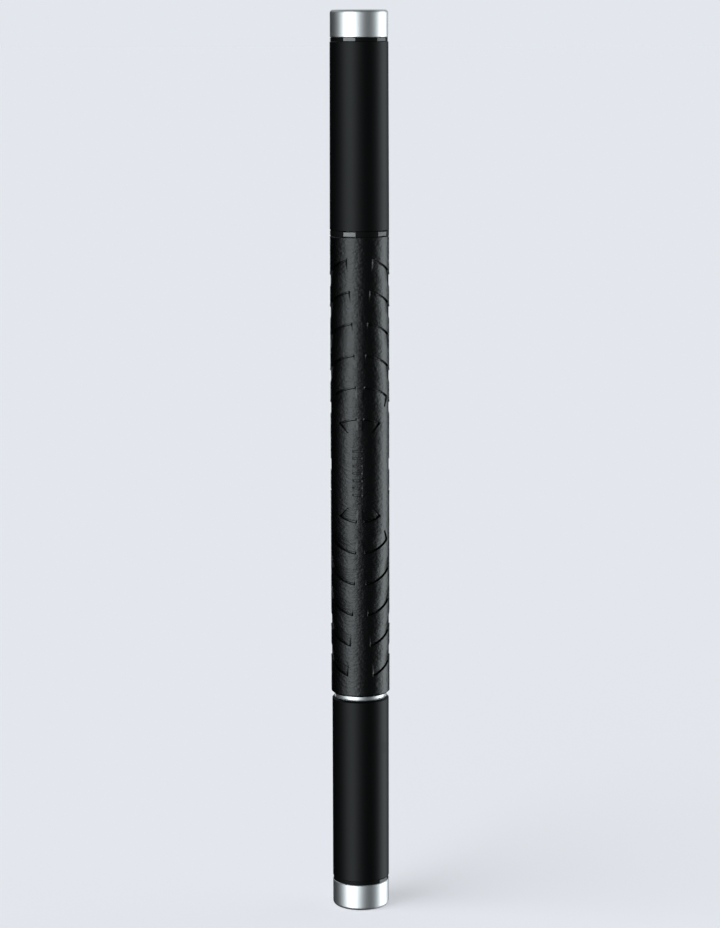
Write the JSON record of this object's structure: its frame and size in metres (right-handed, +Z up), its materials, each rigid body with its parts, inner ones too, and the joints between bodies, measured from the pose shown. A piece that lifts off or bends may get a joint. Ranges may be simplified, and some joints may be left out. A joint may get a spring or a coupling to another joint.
{
  "type": "devil stick",
  "caption": "Straight black devil stick: treaded rubber grip between two smooth tubes, lug rings at the joints and turned metal end caps. Its sections unscrew.",
  "frame": {"origin": "centre of the flat face of the lower cap, on the surface that the stick stands on", "axes": "+Z up along the stick, -Y towards the front of the grip, +X to the right of the front"},
  "size_m": [0.032, 0.032, 0.49],
  "materials": {
    "polished_aluminium": "turned and polished",
    "machined_aluminium": "as machined",
    "black_anodised": "satin black anodised",
    "grip_rubber": "moulded, satin",
    "ring_rubber": "moulded, matte",
    "seal_rubber": "greased O-ring",
    "lug_plastic": "moulded, matte grey",
    "ballast_steel": "turned",
    "screw_steel": "plain"
  },
  "bodies": {
    "bottom_cap": {"bottom_cap": "polished_aluminium", "bottom_cap_o_ring": "seal_rubber", "bottom_weight": "ballast_steel", "bottom_weight_washer": "screw_steel", "bottom_weight_screw": "screw_steel"},
    "bottom_ring": {"bottom_lug_ring": "lug_plastic", "bottom_ring_rubber": "ring_rubber"},
    "lower_section": {"bottom_insert": "machined_aluminium", "lower_tube": "black_anodised", "lower_joiner": "machined_aluminium", "lower_joint_o_ring": "seal_rubber"},
    "joint_ring": {"joint_ring": "polished_aluminium"},
    "grip_section": {"lower_core_plug": "machined_aluminium", "core_tube": "machined_aluminium", "core_pins": "screw_steel", "grip_sleeve": "grip_rubber", "upper_core_plug": "machined_aluminium"},
    "mid_ring": {"mid_lug_ring": "lug_plastic", "mid_ring_rubber": "ring_rubber"},
    "upper_section": {"upper_joiner": "machined_aluminium", "upper_joint_o_ring": "seal_rubber", "upper_tube": "black_anodised", "top_insert": "machined_aluminium"},
    "top_ring": {"top_lug_ring": "lug_plastic", "top_ring_rubber": "ring_rubber"},
    "top_cap": {"top_cap": "polished_aluminium", "top_cap_o_ring": "seal_rubber", "top_weight": "ballast_steel", "top_weight_washer": "screw_steel", "top_weight_screw": "screw_steel"}
  },
  "joints": [
    {"name": "lower_section_lift", "type": "slide", "parent": "bottom_cap", "child": "bottom_ring", "axis": [0, 0, 1], "range_m": [0, 0.0076]},
    {"name": "lower_section_turn", "type": "hinge", "parent": "bottom_ring", "child": "lower_section", "pos_m": [0, 0, 0.0165], "axis": [0, 0, 1], "range_deg": [0, 1800]},
    {"name": "grip_lift", "type": "slide", "parent": "lower_section", "child": "joint_ring", "axis": [0, 0, 1], "range_m": [0, 0.0091]},
    {"name": "grip_turn", "type": "hinge", "parent": "joint_ring", "child": "grip_section", "pos_m": [0, 0, 0.1209], "axis": [0, 0, 1], "range_deg": [0, 2160]},
    {"name": "upper_section_lift", "type": "slide", "parent": "grip_section", "child": "mid_ring", "axis": [0, 0, 1], "range_m": [0, 0.0091]},
    {"name": "upper_section_turn", "type": "hinge", "parent": "mid_ring", "child": "upper_section", "pos_m": [0, 0, 0.374], "axis": [0, 0, 1], "range_deg": [0, 2160]},
    {"name": "top_cap_lift", "type": "slide", "parent": "upper_section", "child": "top_ring", "axis": [0, 0, 1], "range_m": [0, 0.0076]},
    {"name": "top_cap_turn", "type": "hinge", "parent": "top_ring", "child": "top_cap", "pos_m": [0, 0, 0.4756], "axis": [0, 0, 1], "range_deg": [0, 1800]}
  ],
  "couplings": [
    {"joint": "lower_section_lift", "follows": "lower_section_turn", "m_per_rad": 0.00023873},
    {"joint": "grip_lift", "follows": "grip_turn", "m_per_rad": 0.00023873},
    {"joint": "upper_section_lift", "follows": "upper_section_turn", "m_per_rad": 0.00023873},
    {"joint": "top_cap_lift", "follows": "top_cap_turn", "m_per_rad": 0.00023873}
  ]
}
